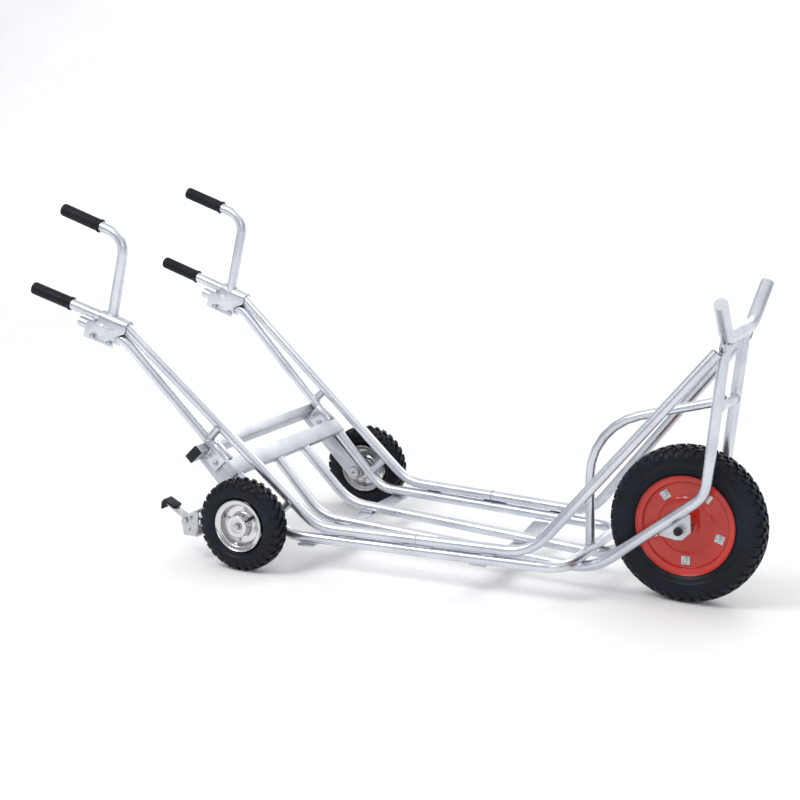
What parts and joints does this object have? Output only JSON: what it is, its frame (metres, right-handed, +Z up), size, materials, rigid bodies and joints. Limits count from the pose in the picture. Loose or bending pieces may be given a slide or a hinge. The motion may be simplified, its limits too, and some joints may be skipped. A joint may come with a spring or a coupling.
{
  "type": "game cart",
  "caption": "Carrying cart of bent aluminium tube with one large red-rimmed front wheel, small rear wheels, a foot brake and black grips.",
  "frame": {"origin": "middle of the bounding box in plan, at ground level", "axes": "+X forward towards the large front wheel, +Y to the cart's left, +Z up"},
  "size_m": [1.7495, 0.704, 0.8052],
  "materials": {
    "aluminium": "satin, bent and welded tube",
    "zinc": "zinc plated",
    "red_rim": "semi-gloss red",
    "tyre_rubber": "matt, moulded tread",
    "grip_rubber": "matt, ribbed",
    "caps": "matt"
  },
  "bodies": {
    "frame": {"main_rail_left": "aluminium", "main_rail_right": "aluminium", "spine_tube_left": "aluminium", "spine_tube_right": "aluminium", "rear_strut_left": "aluminium", "rear_strut_right": "aluminium", "upper_handle_left": "aluminium", "upper_handle_right": "aluminium", "deck_u_tube": "aluminium", "upper_spacer_left": "aluminium", "upper_spacer_right": "aluminium", "lower_spacer_left": "aluminium", "lower_spacer_right": "aluminium", "lower_crossbar": "aluminium", "rear_deck_strip": "aluminium", "front_deck_strip": "aluminium", "horn_tube": "aluminium", "fork_cross_tube": "aluminium", "wheel_hoop": "aluminium", "rail_clamp_left": "aluminium", "rail_clamp_right": "aluminium", "upper_crossbar": "aluminium", "leg_left": "aluminium", "leg_right": "aluminium", "leg_saddle_left": "aluminium", "leg_saddle_right": "aluminium", "axle_bracket_left": "aluminium", "axle_bracket_right": "aluminium", "clamp_bolt_left_rear": "zinc", "clamp_bolt_left_front": "zinc", "clamp_bolt_right_rear": "zinc", "clamp_bolt_right_front": "zinc", "front_axle": "zinc", "rear_axle_left": "zinc", "rear_axle_right": "zinc", "brake_carrier": "zinc", "brake_pivot_bolt": "zinc", "crossbar_cap_left": "caps", "crossbar_cap_right": "caps", "axle_cap_left": "caps", "axle_cap_right": "caps", "lower_grip_left": "grip_rubber", "lower_grip_right": "grip_rubber", "upper_grip_left": "grip_rubber", "upper_grip_right": "grip_rubber"},
    "front_wheel": {"front_tyre": "tyre_rubber", "front_rim_left": "red_rim", "front_rim_right": "red_rim", "front_hub": "zinc", "front_rim_bolt_1": "zinc", "front_rim_bolt_2": "zinc", "front_rim_bolt_3": "zinc", "front_rim_bolt_4": "zinc", "front_rim_bolt_5": "zinc"},
    "rear_wheel_left": {"rear_tyre_left": "tyre_rubber", "rear_rim_left": "zinc"},
    "rear_wheel_right": {"rear_tyre_right": "tyre_rubber", "rear_rim_right": "zinc"},
    "brake": {"brake_pedal": "zinc", "pedal_pad": "grip_rubber"}
  },
  "joints": [
    {"name": "front_wheel_spin", "type": "hinge", "parent": "frame", "child": "front_wheel", "pos_m": [0.697, 0, 0.178], "axis": [0, 1, 0], "continuous": true},
    {"name": "rear_wheel_left_spin", "type": "hinge", "parent": "frame", "child": "rear_wheel_left", "pos_m": [-0.2623, 0.312, 0.1084], "axis": [0, 1, 0], "continuous": true},
    {"name": "rear_wheel_right_spin", "type": "hinge", "parent": "frame", "child": "rear_wheel_right", "pos_m": [-0.2623, -0.312, 0.1084], "axis": [0, 1, 0], "continuous": true},
    {"name": "brake_pedal", "type": "hinge", "parent": "frame", "child": "brake", "pos_m": [-0.416, -0.301, 0.096], "axis": [0, -1, 0], "range_deg": [0, 14]}
  ]
}
